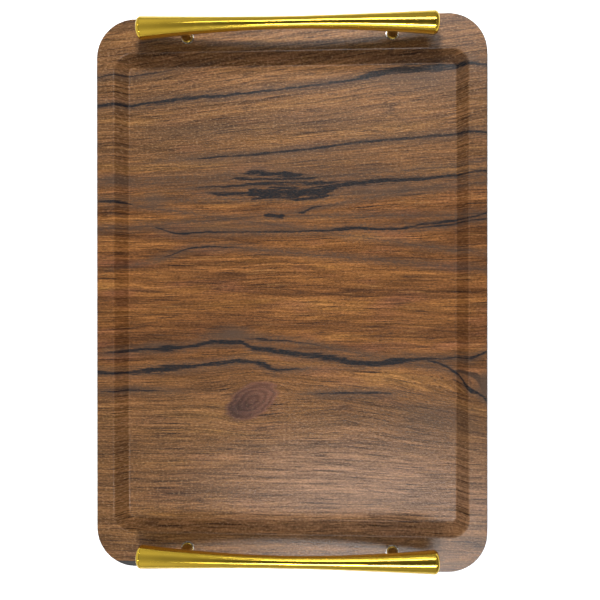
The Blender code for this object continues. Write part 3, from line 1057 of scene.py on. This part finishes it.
def build_lights():
    """The lights of both ends, and two panels below the floor for views from underneath."""
    other_pieces = bpy.data.collections.new("other_pieces")
    for piece in bpy.context.scene.objects:
        if piece.type == "MESH" and "gold_plate" not in piece.data.materials:
            other_pieces.objects.link(piece)
    for end, side in ENDS.items():
        light_end(end, side, other_pieces)
    for name, (place, power) in LOW_PANELS.items():
        add_light(name, place, PANEL_SIZE, PANEL_SIZE, power)


def floor_material():
    """Matt pale paper. Seen from below it is clear, so that the tray's underside shows."""
    tree = new_tree("pale_floor")
    place = place_in_mm(tree)
    fibre = tree.noise(place, scale=0.4, detail=3.0)
    colour = tree.mix(fibre, (0.86, 0.86, 0.86, 1), (0.90, 0.90, 0.90, 1))
    from_camera = tree.add("LightPath").outputs["Is Camera Ray"]
    tree.finish(
        Base_Color=colour,
        Roughness=0.9,
        Specular_IOR_Level=0.1,
        Emission_Color=(1, 1, 1, 1),
        Emission_Strength=tree.math("MULTIPLY", from_camera, FLOOR_LIFT),
    )
    to_world = tree.graph.nodes.new("ShaderNodeVectorTransform")
    to_world.vector_type = "POINT"
    to_world.convert_from = "CAMERA"
    to_world.convert_to = "WORLD"
    to_world.inputs[0].default_value = (0, 0, 0)
    camera_height = tree.add("SeparateXYZ", Vector=to_world.outputs[0]).outputs["Z"]
    clear = tree.add("BsdfTransparent").outputs[0]
    mixed = tree.graph.nodes.new("ShaderNodeMixShader")
    tree.put(mixed.inputs[0], tree.math("LESS_THAN", camera_height, 0.0))
    tree.put(mixed.inputs[1], tree.shader.outputs[0])
    tree.put(mixed.inputs[2], clear)
    tree.put(tree.graph.nodes["Material Output"].inputs["Surface"], mixed.outputs[0])
    return tree.owner


def build_floor():
    half = FLOOR_HALF
    corners = [(-half, -half, 0), (half, -half, 0), (half, half, 0), (-half, half, 0)]
    mesh = bpy.data.meshes.new("floor")
    mesh.from_pydata(corners, [], [(0, 1, 2, 3)])
    mesh.materials.append(floor_material())
    floor = link("studio_floor", mesh)
    floor.location.z = -FLOOR_DROP


def build_world():
    """A soft room that is brighter to the left and dim overhead, and a fainter fill from it."""
    world = bpy.data.worlds.new("studio")
    bpy.context.scene.world = world
    world.use_nodes = True
    tree = Tree(world)
    direction = tree.add("TexCoord").outputs["Generated"]
    split = tree.add("SeparateXYZ", Vector=direction)
    overhead = tree.ramp(split.outputs["Z"], 0.60, 0.97, 0.42, 0.07)
    sideways = tree.ramp(split.outputs["X"], -0.1, 0.5, 1.0, 0.55)
    left = tree.ramp(split.outputs["X"], -0.15, -0.38, 0.0, 0.36)
    room = tree.math("MULTIPLY_ADD", overhead, sideways, left)
    paths = tree.add("LightPath")
    seen = tree.math("MAXIMUM", paths.outputs["Is Glossy Ray"], paths.outputs["Is Camera Ray"])
    share = tree.ramp(seen, 0, 1, FILL_SHARE, 1.0)
    background = tree.graph.nodes["Background"]
    tree.put(background.inputs["Color"], (1.0, 0.985, 0.97, 1))
    tree.put(background.inputs["Strength"], tree.math("MULTIPLY", room, share))


def build_camera():
    """Almost straight above the middle, and turned a little towards the left."""
    data = bpy.data.cameras.new("camera")
    data.sensor_width = CAMERA_SENSOR
    data.lens = CAMERA_LENS
    camera = link("camera", data)
    turn = Matrix.Rotation(CAMERA_TURN_X, 4, "X") @ Matrix.Rotation(CAMERA_TURN_Y, 4, "Y")
    camera.matrix_world = Matrix.Translation(CAMERA_PLACE) @ turn
    bpy.context.scene.camera = camera


build_layers()
gold_plate = gold_material()
zinc_steel = steel_material()
clear_nylon = nylon_material()
for end_name in ENDS:
    build_handle(end_name, gold_plate)
for corner_name in CORNERS:
    build_post(corner_name, gold_plate, zinc_steel, clear_nylon)

build_floor()
build_world()
build_camera()
build_lights()
bpy.context.scene.view_settings.view_transform = "Standard"
